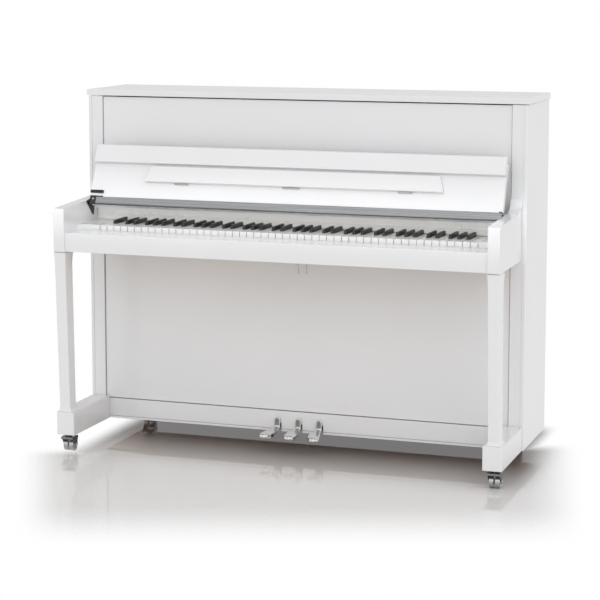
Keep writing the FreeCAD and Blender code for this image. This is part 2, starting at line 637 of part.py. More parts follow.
# The soundboard carries slanting ribs on its back.
RIB_COUNT, RIB_PITCH, RIB_SLANT = 9, 160, -38
soundboard = box((-684, 684), (222, 230), (84, 978))
rib_zone = box((-670, 670), (230, 247.5), (100, 962))
ribs = []
for i in range(RIB_COUNT):
    rib = box((-900, 900), (230, 247.5), (-11, 11))
    rib.Placement = Placement(Vector(RIB_PITCH * (i - (RIB_COUNT - 1) / 2), 0, 530),
                              Rotation(Vector(0, 1, 0), RIB_SLANT))
    ribs.append(rib.common(rib_zone))
group("soundboard", [soundboard] + ribs)

group("pin_block", [box((-inner_half + 4, inner_half - 4), (184, 247.5), (985, 1112))])


def bridge_height(x):
    """Height of the long bridge's lower edge."""
    return 334 + 0.62 * (x + 300)


# The iron plate is open where the bridges pass through it, and has two struts over the opening.
opening = [(-640, 955), (640, 955), (640, bridge_height(640) - 16),
           (-300, bridge_height(-300) - 16), (-600, 318)]
BASS_BRIDGE = (-306, -45)
bass_slot = [(BASS_BRIDGE[0] - 8, 176), (BASS_BRIDGE[1] + 8, 176),
             (BASS_BRIDGE[1] + 8, 216), (BASS_BRIDGE[0] - 8, 216)]
plate = box((-inner_half + 6, inner_half - 6), (172, 184), (96, 1110))
plate = plate.cut(extruded(opening, "xz", 170, 16)).cut(extruded(bass_slot, "xz", 170, 16))
for x in STRUTS:
    plate = plate.fuse(box((x - 9, x + 9), (160, 172), (150, 1000)))
group("iron_plate", [plate.removeSplitter()])

long_bridge = extruded([(-296, bridge_height(-296)), (620, bridge_height(620)),
                        (620, bridge_height(620) + 30), (-296, bridge_height(-296) + 30)], "xz", 166, 56)
long_bridge = long_bridge.cut(box((STRUTS[1] - 12, STRUTS[1] + 12), (150, 174), (100, 1000)))
bass_bridge = extruded([(BASS_BRIDGE[0], 184), (BASS_BRIDGE[1], 184), (BASS_BRIDGE[1], 208),
                        (BASS_BRIDGE[0], 208)], "xz", 159, 63)
group("bridges", [long_bridge, bass_bridge])

# The bass strings slant across, in front of the others.
STRIKE_HEIGHT, BASS_SLANT, PIN_ROWS, ROW_RISE = 980, 0.37, 4, 18
string_solids, tuning_solids = [], []
for section in HAMMER_ROWS:
    for i, x in enumerate(spots(section)):
        height = 1012 + ROW_RISE * (i % PIN_ROWS)
        if section == "bass":
            start_x = x - BASS_SLANT * (height - STRIKE_HEIGHT)
            start, end = (start_x, 157, height), (x + BASS_SLANT * (STRIKE_HEIGHT - 160), 157, 160)
            string_solids.append(rod(start, end, 1.5))
        else:
            start_x = x
            string_solids.append(rod((x, 165, height), (x, 165, bridge_height(x) - 34), 0.6))
        tuning_solids.append(rod((start_x, 172, height + 5), (start_x, 147, height + 5), 3.2))
group("strings", string_solids)
group("tuning_pins", tuning_solids)

# ---------------------------------------------------------------- pedals

PEDAL_PIVOT = (60, 92)
rail_face = stile_front.value
lever_outline = [(rail_face - 14, 64), (0, 64), (34, 82), (132, 82), (132, 94), (70, 94), (68, 100),
                 (52, 100), (50, 94), (28, 94), (-3, 76), (rail_face - 14, 76)]
foot_outline = [(-8, 0), (8, 0), (10, -30), (19, -66), (19, -84), (13, -92), (0, -95), (-13, -92),
                (-19, -84), (-19, -66), (-10, -30)]
LEVER_HALF, NECK_HALF, NECK_TOP = 8, 9, 96
bracket_solids = []
for number, name in enumerate(("left_pedal", "middle_pedal", "right_pedal")):
    x = d.pedal_centre.value + (number - 1) * d.pedal_pitch.value
    lever = extruded(lever_outline, "yz", x - LEVER_HALF, 2 * LEVER_HALF)
    pivot_bore = rod((x - 9, *PEDAL_PIVOT), (x + 9, *PEDAL_PIVOT), d.pivot_radius.value + PIN_CLEARANCE)
    lever = lever.cut(pivot_bore)
    neck = box((x - NECK_HALF, x + NECK_HALF), (rail_face - 9, rail_face - 3), (64, NECK_TOP))
    arch = rod((x, rail_face - 9, NECK_TOP), (x, rail_face - 3, NECK_TOP), NECK_HALF)
    foot = extruded([(x + a, b) for a, b in foot_outline], "xy", -5, 10)
    foot.Placement = Placement(Vector(0, rail_face - 12, 71), Rotation(Vector(1, 0, 0), 6))
    group(name, [lever.fuse([neck, arch, foot]).removeSplitter()])
    ears = [box((x + a, x + a + 4), (46, 74), (76, 102)) for a in (-13, 9)]
    pin = rod((x - 13, *PEDAL_PIVOT), (x + 13, *PEDAL_PIVOT), d.pivot_radius.value)
    bracket_solids.append(ears[0].fuse([ears[1], pin]).removeSplitter())
group("pedal_brackets", bracket_solids)

# ---------------------------------------------------------------- casters

wheel_r = d.wheel_diameter.value / 2
space = d.wheel_space.value / 2
wide = d.wheel_wide.value
axle_r = d.axle_radius.value
trail = d.caster_trail.value
CASTER_SPOTS = {"front_left": (-693, -254), "front_right": (693, -254),
                "rear_left": (-640, 264), "rear_right": (640, 264)}


def wheel(side):
    """One of the two discs, with a rounded rim and a running bore."""
    start = space if side > 0 else -space - wide
    disc = Part.makeCylinder(wheel_r, wide, Vector(start, 0, wheel_r), Vector(1, 0, 0))
    disc = disc.makeFillet(2, [e for e in disc.Edges if len(e.Vertexes) == 1])
    hole = rod((start - 1, 0, wheel_r), (start + wide + 1, 0, wheel_r), axle_r + PIN_CLEARANCE)
    return disc.cut(hole)


# Each fork is a turntable plate, a kingpin, a hood over both wheels and two legs that hold the axle.
plate_low = d.case_bottom.value - 3
HOOD_LOW, HOOD_HIGH, LEG_THICK, LEG_SPACE = 40.5, 49, 2.5, 0.8
leg_inner = space + wide + LEG_SPACE
leg_outer = leg_inner + LEG_THICK
hood_outline = [(-16, HOOD_LOW), (25, HOOD_LOW), (27, HOOD_LOW + 3), (24, HOOD_HIGH), (-13, HOOD_HIGH),
                (-16, HOOD_HIGH - 3)]
leg_outline = [(-10, HOOD_LOW + 1), (24, HOOD_LOW + 1), (trail + 7, wheel_r), (trail + 4, wheel_r - 6.5),
               (trail - 4, wheel_r - 6.5), (trail - 7, wheel_r)]
for corner, (x, y) in CASTER_SPOTS.items():
    turntable = rod((0, 0, plate_low), (0, 0, plate_low + 3), 19)
    kingpin = rod((0, 0, HOOD_HIGH - 1), (0, 0, plate_low + 1), 9)
    hood = extruded(hood_outline, "yz", -leg_outer, 2 * leg_outer)
    legs = [extruded(leg_outline, "yz", start, LEG_THICK) for start in (-leg_outer, leg_inner)]
    axle = rod((-leg_outer, trail, wheel_r), (leg_outer, trail, wheel_r), axle_r)
    group("caster_fork_" + corner, [turntable.fuse([kingpin, hood, axle] + legs).removeSplitter()],
          Placement(Vector(x, y, 0), Rotation()))
    group("caster_wheels_" + corner, [wheel(-1), wheel(1)], Placement(Vector(x, y + trail, 0), Rotation()))

# ---------------------------------------------------------------- check and write

doc.recompute()
failed = [o.Name for o in doc.Objects if "Invalid" in o.State or "Error" in o.State]
if failed:
    raise RuntimeError("failed features: " + ", ".join(failed))
os.makedirs("parts", exist_ok=True)
for item in nodes:
    shape = item.Shape
    if shape.isNull() or not shape.isValid():
        raise RuntimeError("bad shape: " + item.Label)
for item in nodes:
    item.Shape.exportStep(os.path.join("parts", item.Label + ".step"))
print("%d nodes written" % len(nodes))
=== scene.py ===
import json
import math

import bmesh
import bpy
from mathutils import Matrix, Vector


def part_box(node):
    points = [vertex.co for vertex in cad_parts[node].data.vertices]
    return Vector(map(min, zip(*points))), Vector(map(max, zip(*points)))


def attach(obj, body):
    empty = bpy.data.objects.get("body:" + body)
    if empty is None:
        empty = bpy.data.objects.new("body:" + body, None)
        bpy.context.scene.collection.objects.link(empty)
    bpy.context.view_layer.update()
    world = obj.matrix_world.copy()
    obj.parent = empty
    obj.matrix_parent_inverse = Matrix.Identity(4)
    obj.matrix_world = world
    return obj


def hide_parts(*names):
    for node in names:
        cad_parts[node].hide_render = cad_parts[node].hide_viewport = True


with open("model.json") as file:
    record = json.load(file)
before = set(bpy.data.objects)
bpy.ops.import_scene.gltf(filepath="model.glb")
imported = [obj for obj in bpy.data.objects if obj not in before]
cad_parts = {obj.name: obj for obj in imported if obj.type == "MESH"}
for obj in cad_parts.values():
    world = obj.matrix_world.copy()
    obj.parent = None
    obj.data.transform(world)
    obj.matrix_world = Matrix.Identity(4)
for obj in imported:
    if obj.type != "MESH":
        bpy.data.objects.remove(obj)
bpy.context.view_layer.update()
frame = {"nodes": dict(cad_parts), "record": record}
nodes = frame["nodes"]
MM = 0.001

# ---------------------------------------------------------------- node trees


class Wiring:
    """Adds and links the nodes of one tree."""

    def __init__(self, tree):
        self.tree = tree

    def feed(self, value, target):
        """Links an output socket to an input, or sets the input to a plain value."""
        if isinstance(value, bpy.types.NodeSocket):
            self.tree.links.new(value, target)
        else:
            target.default_value = value
        return self

    def add(self, kind, feeds=(), **settings):
        """A node with its settings; feeds gives each input's socket or value."""
        made = self.tree.nodes.new(kind)
        for key, value in settings.items():
            setattr(made, key, value)
        for socket, value in dict(feeds).items():
            self.feed(value, made.inputs[socket])
        return made

    def maths(self, operation, first, second, kind="ShaderNodeMath"):
        return self.add(kind, {0: first, 1: second}, operation=operation).outputs["Value"]

    def span(self, value, start, end, low=0.0, high=1.0, **settings):
        """From low to high as value goes from start to end, and held beyond them."""
        return self.add("ShaderNodeMapRange", {
            "Value": value, "From Min": start, "From Max": end, "To Min": low, "To Max": high,
        }, **settings).outputs["Result"]

    def part(self, vector, axis):
        """One coordinate of a vector."""
        return self.add("ShaderNodeSeparateXYZ", {"Vector": vector}).outputs[axis]

    def ramp(self, factor, stops):
        """A colour for each value of factor; stops are (position, colour)."""
        made = self.add("ShaderNodeValToRGB", {"Fac": factor})
        elements = made.color_ramp.elements
        while len(elements) < len(stops):
            elements.new(0.5)
        for element, (position, colour) in zip(elements, stops):
            element.position = position
            element.color = (*colour, 1)
        return made.outputs["Color"]

    def mix(self, factor, low, high):
        """One of two colours, by factor."""
        made = self.add("ShaderNodeMix", {"Factor": factor}, data_type="RGBA")
        for socket, colour in zip([s for s in made.inputs if s.type == "RGBA"], (low, high)):
            self.feed(colour, socket)
        return [s for s in made.outputs if s.type == "RGBA"][0]


# ---------------------------------------------------------------- materials
# Every finish is a Principled shader fed by noise in object coordinates, which are metres in the
# CAD frame. Noise stays mostly near its middle, so two shades meet over only a part of its range.

BROAD, NARROW = (0.3, 0.7), (0.35, 0.65)
SHADE_CELLS, GLOSS_CELLS = 2.6, 7  # a metre: how finely a finish's shade and gloss drift
BAND_SHARE, GRAIN_WAVER, GRAIN_DEPTH = 0.16, 0.4, 0.00025  # of timber; its depth is in metres


class Finish(Wiring):
    """A Principled material under construction."""

    def __init__(self, name, metallic=0.0, ior=1.5, coat=0.0, coat_roughness=0.04, sheen=0.0):
        self.material = bpy.data.materials.new(name)
        self.material.use_nodes = True
        super().__init__(self.material.node_tree)
        self.shader = self.tree.nodes["Principled BSDF"]
        for socket, value in (("Metallic", metallic), ("IOR", ior), ("Coat Weight", coat),
                              ("Coat Roughness", coat_roughness), ("Sheen Weight", sheen)):
            self.feed(value, self.shader.inputs[socket])
        self.place = self.add("ShaderNodeTexCoord").outputs["Object"]

    def noise(self, scale, detail, stretch=(1, 1, 1), turn=(0, 0, 0), distortion=0.0):
        """Noise from 0 to 1, with scale cells a metre, times stretch along each axis."""
        mapped = self.add("ShaderNodeMapping", {
            "Vector": self.place, "Scale": stretch, "Rotation": [math.radians(a) for a in turn]})
        return self.add("ShaderNodeTexNoise", {
            "Vector": mapped.outputs["Vector"], "Scale": scale, "Detail": detail,
            "Distortion": distortion}).outputs["Fac"]

    def shades(self, factor, first, second, reach=BROAD):
        """From the first colour to the second over reach, a part of factor's range."""
        return self.ramp(factor, ((reach[0], first), (reach[1], second)))

    def colour(self, source):
        return self.feed(source, self.shader.inputs["Base Color"])

    def rough(self, factor, low, high):
        return self.feed(self.span(factor, *BROAD, low, high), self.shader.inputs["Roughness"])

    def bump(self, factor, depth):
        """Relief whose height is depth metres at factor 1."""
        made = self.add("ShaderNodeBump", {"Height": factor, "Distance": depth})
        return self.feed(made.outputs["Normal"], self.shader.inputs["Normal"])


def painted(name, dark, light, roughness, grain, depth, **shader):
    """A lacquered, moulded or plated surface: two close shades, uneven gloss and a fine skin."""
    made = Finish(name, **shader)
    made.colour(made.shades(made.noise(SHADE_CELLS, 4), dark, light))
    made.rough(made.noise(GLOSS_CELLS, 5), *roughness)
    made.bump(made.noise(grain, 2), depth)
    return made.material


def timber(name, pale, mid, dark, grain, turn=(0, 0, 0)):
    """Planed wood: fine lines along the grain over broad bands."""
    made = Finish(name, coat=0.15, coat_roughness=0.3)
    lines = made.noise(1, 6, stretch=grain, turn=turn, distortion=GRAIN_WAVER)
    bands = made.noise(1, 3, stretch=[g * BAND_SHARE for g in grain], turn=turn)
    made.colour(made.mix(lines, made.shades(bands, pale, mid, NARROW),
                         made.shades(bands, mid, dark)))
    made.rough(lines, 0.4, 0.55)
    made.bump(lines, GRAIN_DEPTH)
    return made.material


def brushed(name, dark, light, roughness, brush):
    """Metal with fine lines drawn along one axis."""
    made = Finish(name, metallic=1.0)
    lines = made.noise(1, 4, stretch=brush)
    made.colour(made.shades(lines, dark, light, NARROW))
    made.rough(lines, *roughness)
    made.bump(lines, 0.00003)
    return made.material


def hammer_finish(felt_from=0.958, felt_full=0.960):
    """Maple butts and shanks under cream felt heads, which start at a height in metres."""
    made = Finish("hammer_wood_and_felt", sheen=0.1)
    lines = made.noise(1, 4, stretch=(300, 300, 24))
    wood = made.shades(lines, (0.62, 0.44, 0.26), (0.74, 0.56, 0.36))
    wool = made.shades(made.noise(420, 5), (0.74, 0.71, 0.62), (0.86, 0.84, 0.77))
    made.colour(made.mix(made.span(made.part(made.place, "Z"), felt_from, felt_full), wood, wool))
    made.rough(lines, 0.55, 0.9)
    made.bump(made.noise(600, 4), 0.0002)
    return made.material


def key_finish(side_from=0.75, side_full=0.95):
    """White plastic on a key's top and front, over darker wood where its normal turns to X."""
    made = Finish("key_white_over_wood", coat=0.25)
    white = made.shades(made.noise(SHADE_CELLS, 4), (0.83, 0.83, 0.815), (0.86, 0.86, 0.85))
    wood = made.shades(made.noise(1, 4, stretch=(160, 7, 160)),
                       (0.24, 0.20, 0.16), (0.34, 0.29, 0.24))
    normal = made.add("ShaderNodeTexCoord").outputs["Normal"]
    across = made.add("ShaderNodeMath", {0: made.part(normal, "X")}, operation="ABSOLUTE")
    made.colour(made.mix(made.span(across.outputs["Value"], side_from, side_full), white, wood))
    made.rough(made.noise(GLOSS_CELLS, 5), 0.20, 0.30)
    made.bump(made.noise(500, 2), 0.00002)
    return made.material


def string_finish(copper_to=0.160, steel_from=0.161):
    """Steel wire, wound with copper in the bass, whose strings stand in front, in metres."""
    made = Finish("string_steel_and_copper", metallic=1.0)
    winding = made.noise(1, 1, stretch=(40, 40, 2600))
    copper = made.shades(winding, (0.42, 0.19, 0.09), (0.70, 0.36, 0.20), NARROW)
    steel = made.shades(winding, (0.46, 0.46, 0.47), (0.60, 0.60, 0.61), NARROW)
    made.colour(made.mix(made.span(made.part(made.place, "Y"), copper_to, steel_from),
                         copper, steel))
    made.rough(winding, 0.22, 0.4)
    return made.material


finishes = {
    "white": painted("white_lacquer", (0.795, 0.797, 0.803), (0.822, 0.824, 0.831),
                     (0.10, 0.17), 260, 0.00001, coat=0.6, coat_roughness=0.03),
    "cream": painted("cream_lacquer", (0.805, 0.797, 0.775), (0.83, 0.822, 0.80),
                     (0.25, 0.36), 300, 0.00004, coat=0.2),
    "wood": timber("beech", (0.66, 0.47, 0.29), (0.58, 0.39, 0.22), (0.47, 0.29, 0.15),
                   (7, 160, 160)),
    "posts": timber("pine_posts", (0.70, 0.52, 0.33), (0.62, 0.43, 0.25), (0.50, 0.32, 0.17),
                    (110, 110, 5)),
    "spruce": timber("spruce", (0.74, 0.58, 0.36), (0.68, 0.50, 0.29), (0.56, 0.38, 0.20),
                     (5, 80, 260), (0, 52, 0)),
    "steel": brushed("bright_steel", (0.50, 0.50, 0.51), (0.64, 0.64, 0.65),
                     (0.24, 0.40), (6, 700, 700)),
    "iron": painted("bronzed_iron", (0.42, 0.31, 0.12), (0.52, 0.40, 0.18),
                    (0.40, 0.55), 190, 0.0004, metallic=0.6),
    "felt": painted("wool_felt", (0.66, 0.64, 0.58), (0.80, 0.78, 0.71),
                    (0.85, 0.98), 900, 0.0004, sheen=0.3),
    "white_felt": painted("white_felt", (0.79, 0.782, 0.765), (0.84, 0.832, 0.815),
                          (0.8, 0.95), 900, 0.0003, sheen=0.2),
    "hammers": hammer_finish(),
    "strings": string_finish(),
    "strip": brushed("brushed_aluminium", (0.25, 0.255, 0.26), (0.36, 0.37, 0.375),
                     (0.24, 0.36), (4, 1500, 1500)),
    "black_steel": painted("blackened_steel", (0.010, 0.010, 0.011), (0.022, 0.022, 0.024),
                           (0.30, 0.42), 500, 0.00004, metallic=0.4),
    "black_plastic": painted("moulded_black", (0.012, 0.012, 0.013), (0.020, 0.020, 0.021),
                             (0.40, 0.55), 900, 0.00006),
    "pedal_metal": painted("polished_nickel", (0.66, 0.66, 0.65), (0.76, 0.76, 0.75),
                           (0.06, 0.12), 120, 0.00003, metallic=1.0),
    "caster_metal": painted("caster_chrome", (0.15, 0.155, 0.155), (0.25, 0.255, 0.255),
                            (0.10, 0.18), 150, 0.00004, metallic=1.0),
    "caster_wheel": painted("caster_tread_metal", (0.40, 0.415, 0.41), (0.52, 0.535, 0.53),
                            (0.09, 0.14), 400, 0.00006, metallic=0.9),
    # Painted reflection: darker nickel for the plate inside each pedal neck's rim.
    "neck_painted_reflection": painted("painted_reflection_nickel", (0.20, 0.205, 0.20), (0.30, 0.305, 0.30),
                          (0.20, 0.30), 120, 0.00003, metallic=1.0),
    "white_keys": key_finish(),
    "black_keys": painted("key_black", (0.010, 0.010, 0.011), (0.018, 0.018, 0.020),
                          (0.34, 0.46), 700, 0.00005),
}

# ---------------------------------------------------------------- CAD nodes: edges and finishes

# Nodes whose finish isn't the one their material slot is named after.
SPECIAL = {"back_frame": "posts", "hammers_bass": "hammers", "hammers_tenor": "hammers",
           "hammers_treble": "hammers", "strings": "strings"}
ROUNDING_MM = {
    "left_side": 2.0, "right_side": 2.0, "stiles": 1.2, "left_arm": 4.5, "right_arm": 4.5,
    "left_leg": 2.0, "right_leg": 2.0, "left_toe": 2.0, "right_toe": 2.0, "upper_panel": 1.2,
    "lower_panel": 1.2, "bottom_rail": 0.6, "keyslip": 2.0, "key_blocks": 1.5,
    "fallboard_shelf": 1.0, "lid": 2.5, "fallboard": 1.5, "fallboard_lip": 3.0,
    "music_shelf": 2.0, "panel_catch": 1.0, "nameboard": 0.8, "bottom_board": 1.0,
    "keybed": 1.5, "back_frame": 3.0, "bridges": 1.0, "pin_block": 1.0, "action_frame": 0.6,
    "muffler_rail": 0.6, "soundboard": 0.8, "iron_plate": 3.0, "pedal_brackets": 0.8,
    "fallboard_strip": 0.5, "fallboard_levers": 0.5, "shelf_hinges": 0.3,
    "damper_unit": 0.5, "dampers": 0.8,
    "white_keys_bass": 0.7, "white_keys_tenor": 0.7, "white_keys_treble": 0.7,
    "black_keys_bass": 1.2, "black_keys_tenor": 1.2, "black_keys_treble": 1.2,
}
SAME_POINT, MADE_SAME_POINT = 1e-5, 1e-6  # metres, in a CAD mesh and in a bmesh made here
ROUND_STEPS, SHARP_DEGREES, BROAD_FACE_WEIGHT = 3, 35, 60


def soften(piece, width):
    """Joins the split vertices, rounds the sharp edges and keeps the broad faces flat."""
    weld = piece.modifiers.new("weld", "WELD")
    weld.merge_threshold = SAME_POINT
    bevel = piece.modifiers.new("round", "BEVEL")
    bevel.width = width
    bevel.segments = ROUND_STEPS
    bevel.limit_method = "ANGLE"
    bevel.angle_limit = math.radians(SHARP_DEGREES)
    bevel.use_clamp_overlap = True
    bevel.miter_outer = "MITER_ARC"
    piece.modifiers.new("flat_faces", "WEIGHTED_NORMAL").weight = BROAD_FACE_WEIGHT


def paint(piece, finish):
    piece.data.materials.clear()
    piece.data.materials.append(finishes[finish])


slots = {part["node"]: part["material_slot"] for part in frame["record"]["subparts"]}
for name, piece in nodes.items():
    paint(piece, SPECIAL.get(name, slots[name]))
    if name in ROUNDING_MM:
        soften(piece, ROUNDING_MM[name] * MM)

# ---------------------------------------------------------------- mesh helpers
# Outlines, profiles and places are in mm in the CAD frame; X is right, Y back and Z up.


def turns(count, whole=2 * math.pi):
    """Equal steps of angle from 0, stopping one step short of whole."""
    return [whole * i / count for i in range(count)]


def ring_skin(bm, rings, closed=False):
    """Faces between successive rings of vertices, capped at both ends unless closed on itself."""
    count = len(rings[0])
    pairs = list(zip(rings, rings[1:])) + ([(rings[-1], rings[0])] if closed else [])
    for a, b in pairs:
        for i in range(count):
            j = (i + 1) % count
            bm.faces.new((a[i], a[j], b[j], b[i]))
    if not closed:
        bm.faces.new(rings[0][::-1])
        bm.faces.new(rings[-1])


def prism(bm, outline, axis, low, high):
    """A closed outline, in the two coordinates other than axis in order, pushed along axis."""
    def point(pair, value):
        spot = list(pair)
        spot.insert(axis, value)
        return bm.verts.new([c * MM for c in spot])
    ring_skin(bm, [[point(p, value) for p in outline] for value in (low, high)])


def lathe(bm, profile, centre, axis, steps):
    """Turns a closed profile of (radius, distance along the axis) about an axis through centre."""
    axis = Vector(axis).normalized()
    side = axis.orthogonal().normalized()
    across = axis.cross(side)
    rings = []
    for angle in turns(steps):
        out = side * math.cos(angle) + across * math.sin(angle)
        rings.append([bm.verts.new((Vector(centre) + out * r + axis * t) * MM)
                      for r, t in profile])
    ring_skin(bm, rings, closed=True)


def finished(name, bm, finish, body, rounding=0.0, stands_for=()):
    """Turns a bmesh in the CAD frame into a piece that rides on a body."""
    bmesh.ops.remove_doubles(bm, verts=bm.verts, dist=MADE_SAME_POINT)
    bmesh.ops.recalc_face_normals(bm, faces=bm.faces)
    mesh = bpy.data.meshes.new(name)
    bm.to_mesh(mesh)
    bm.free()
    for face in mesh.polygons:
        face.use_smooth = True
    piece = bpy.data.objects.new(name, mesh)
    bpy.context.scene.collection.objects.link(piece)
    paint(piece, finish)
    if rounding:
        soften(piece, rounding * MM)
    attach(piece, body)
    if stands_for:
        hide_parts(*stands_for)
    return piece


# ---------------------------------------------------------------- pedals

# The lever's side view, in Y and Z.
PEDAL_LEVER = [(-16, 64), (0, 64), (34, 82), (132, 82), (132, 94), (70, 94), (68, 100), (52, 100),
               (50, 94), (28, 94), (-3, 76), (-16, 76)]
LEVER_HALF = 8
# The neck is an upright plate with a round top, and a darker plate inside its rim paints the neck's
# dark reflection.
NECK_HALF, NECK_FOOT, NECK_TOP, NECK_FRONT, NECK_BACK = 9.5, 66, 95.5, -17, -11
NECK_RIM, REFLECTION_PLATE_FOOT, REFLECTION_PLATE_PROUD, REFLECTION_PLATE_DEPTH = 2.6, 79, 0.7, 1
ARCH_STEPS = 14
# The foot widens on an S-curve along its length and ends in three lobes. Lengths are in mm, and
# places along it go from 0 at the neck to 1 at the tip.
FOOT_START, FOOT_LENGTH, FOOT_TOP, FOOT_DROP, FOOT_CROWN = -12, 103, 75, 7, 1.6
FOOT_HALF, FOOT_WIDENS, WIDENS_AT, WIDENS_FAST = 9.5, 9.5, 0.42, 12
FOOT_THICK, FOOT_SWELL, EDGE_THINS = 9, 8, 0.3
FOOT_NOSE, NOSE_BLUNT, NOSE_NARROWS = 0.90, 0.12, 0.12
LOBES, LOBE_CUT, CORNER_CUT, LOBE_DIP = 3, 0.05, 0.07, 2.2
FOOT_ROWS, NOSE_ROWS, FOOT_COLUMNS = 14, 8, 24
FOOT_EDGE, FOOT_EDGE_DEGREES = 1.5, 45


def arch(x, half, spring, foot):
    """Outline in X and Z of an upright plate with a round top."""
    points = [(x - half, foot), (x + half, foot)]
    for i in range(ARCH_STEPS + 1):
        angle = math.pi * i / ARCH_STEPS
        points.append((x + half * math.cos(angle), spring + half * math.sin(angle)))
    return points


def foot_ring(bm, x, lean, u):
    """The foot's cross-section at u, as a ring of vertices."""
    half = FOOT_HALF + FOOT_WIDENS / (1 + math.exp(-(u - WIDENS_AT) * WIDENS_FAST))
    nose = max(0.0, (u - FOOT_NOSE) / (1 - FOOT_NOSE))
    close = max(NOSE_BLUNT, math.sqrt(1 - nose * nose))
    upper, lower = [], []
    for column in range(FOOT_COLUMNS + 1):
        v = 2 * column / FOOT_COLUMNS - 1
        lobe = 1 - abs(math.cos(LOBES / 2 * math.pi * v))
        cut = (LOBE_CUT * lobe + CORNER_CUT * v ** 4) * u ** 5
        y = FOOT_START - FOOT_LENGTH * u * (1 - cut)
        thick = (FOOT_THICK + FOOT_SWELL * u) * (1 - EDGE_THINS * v ** 4)
        top = FOOT_TOP - FOOT_DROP * u + FOOT_CROWN * (1 - v * v) - LOBE_DIP * u ** 8 * lobe
        middle = top - thick / 2
        side = x + lean * u * u + half * v * (1 - NOSE_NARROWS * nose)
        upper.append(bm.verts.new(Vector((side, y, middle + close * thick / 2)) * MM))
        lower.append(bm.verts.new(Vector((side, y, middle - close * thick / 2)) * MM))
    return upper + lower[::-1]


def pedal(name, lean):
    """A cast pedal: arched neck, lobed foot that bears right by lean mm, and the lever behind."""
    low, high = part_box(name)
    x = (low.x + high.x) / 2 / MM
    bm = bmesh.new()
    prism(bm, PEDAL_LEVER, 0, x - LEVER_HALF, x + LEVER_HALF)
    prism(bm, arch(x, NECK_HALF, NECK_TOP, NECK_FOOT), 1, NECK_FRONT, NECK_BACK)
    finished(name + "_lever", bm, "pedal_metal", name, rounding=1.8, stands_for=[name])
    # Painted reflection: a darker grey plate inside the rim stands in for the neck's dark
    # reflection.
    bm = bmesh.new()
    prism(bm, arch(x, NECK_HALF - NECK_RIM, NECK_TOP, REFLECTION_PLATE_FOOT), 1,
          NECK_FRONT - REFLECTION_PLATE_PROUD, NECK_FRONT + REFLECTION_PLATE_DEPTH)
    finished(name + "_painted_reflection", bm, "neck_painted_reflection", name, rounding=0.3)
    bm = bmesh.new()
    along = [FOOT_NOSE * row / FOOT_ROWS for row in range(FOOT_ROWS)]
    along += [FOOT_NOSE + (1 - FOOT_NOSE) * math.sin(math.pi / 2 * row / NOSE_ROWS)
              for row in range(NOSE_ROWS + 1)]
    ring_skin(bm, [foot_ring(bm, x, lean, u) for u in along])
    foot = finished(name + "_foot", bm, "pedal_metal", name)
    rim = foot.modifiers.new("rim", "BEVEL")
    rim.width, rim.segments, rim.limit_method = FOOT_EDGE * MM, ROUND_STEPS, "ANGLE"
    rim.angle_limit = math.radians(FOOT_EDGE_DEGREES)
    foot.modifiers.new("smooth", "SUBSURF").render_levels = 1


for name, lean in (("left_pedal", -12), ("middle_pedal", 0), ("right_pedal", 12)):
    pedal(name, lean)

# ---------------------------------------------------------------- casters

# The swivel axis stands the turntable's radius in from the fork's front, and the axle trails it.
TURNTABLE_RADIUS, WHEEL_RADIUS, WHEEL_SPACE, AXLE_RADIUS, TRAIL = 19, 19, 1.5, 4, 12
# Profiles of radius and distance: up from the floor for the turntable and kingpin, and outward
# from the inner face, or from the leg, for the wheel, the black discs that paint the shade in its
# holes, and the cap.
BORE, WHEEL_WIDTH = AXLE_RADIUS + 0.1, 15.2
WHEEL_PROFILE = [
    (BORE, 0), (7, 0), (8, 1), (14.5, 1.2), (16, 0.4), (17.6, 0.3), (18.6, 0.9),
    (WHEEL_RADIUS, 2.2), (WHEEL_RADIUS, 13.3), (18.6, 14.6), (17.6, WHEEL_WIDTH), (16.4, 15.1),
    (15.5, 14.2), (14.8, 12.4), (13.4, 11.8), (8.6, 11.8), (7.6, 12.4), (7.2, 14),
    (6.6, WHEEL_WIDTH), (BORE, WHEEL_WIDTH)]
HOLE_PROFILE = [(0.2, 11.6), (1.9, 11.6), (1.9, 12.1), (0.2, 12.1)]
HOLE_COUNT, HOLE_CIRCLE = 6, 11
TURNTABLE = [(0.5, 55), (17, 55), (18.4, 55.4), (19.4, 56), (19.6, 56.6), (19.2, 57.3),
             (18, 57.9), (0.5, 57.9)]
KINGPIN = [(0.4, 48.6), (10.5, 48.6), (10.8, 50.6), (8.2, 51.6), (8.0, 53.4), (10, 54.2),
           (10, 55.1), (0.4, 55.1)]
CAP_PROFILE = [(0.3, -0.3), (5.4, -0.3), (5.4, 1.0), (4.6, 1.7), (2.6, 2.2), (0.3, 2.3)]
# Side views of the hood and the legs, in Y from the swivel axis and Z.
HOOD_OUTLINE = [(-16.6, 41.4), (-15.6, 40.5), (24.6, 40.5), (26.8, 42.4), (26.6, 44.6),
                (24.2, 48.2), (22.8, 49.1), (-12.4, 49.1), (-14.9, 48.1), (-16.4, 45.6)]
LEG_OUTLINE = [(-10, 41.5), (24, 41.5), (19, 19), (16.6, 14.4), (12, 12.6), (7.4, 14.4), (5, 19)]
LEG_INNER, LEG_OUTER = 17.8, 20.3
AXLE_PROFILE = [(0.3, -LEG_OUTER), (AXLE_RADIUS, -LEG_OUTER), (AXLE_RADIUS, LEG_OUTER),
                (0.3, LEG_OUTER)]
UPRIGHT, ACROSS = (0, 0, 1), (1, 0, 0)
BOTH_SIDES = (-1, 1)

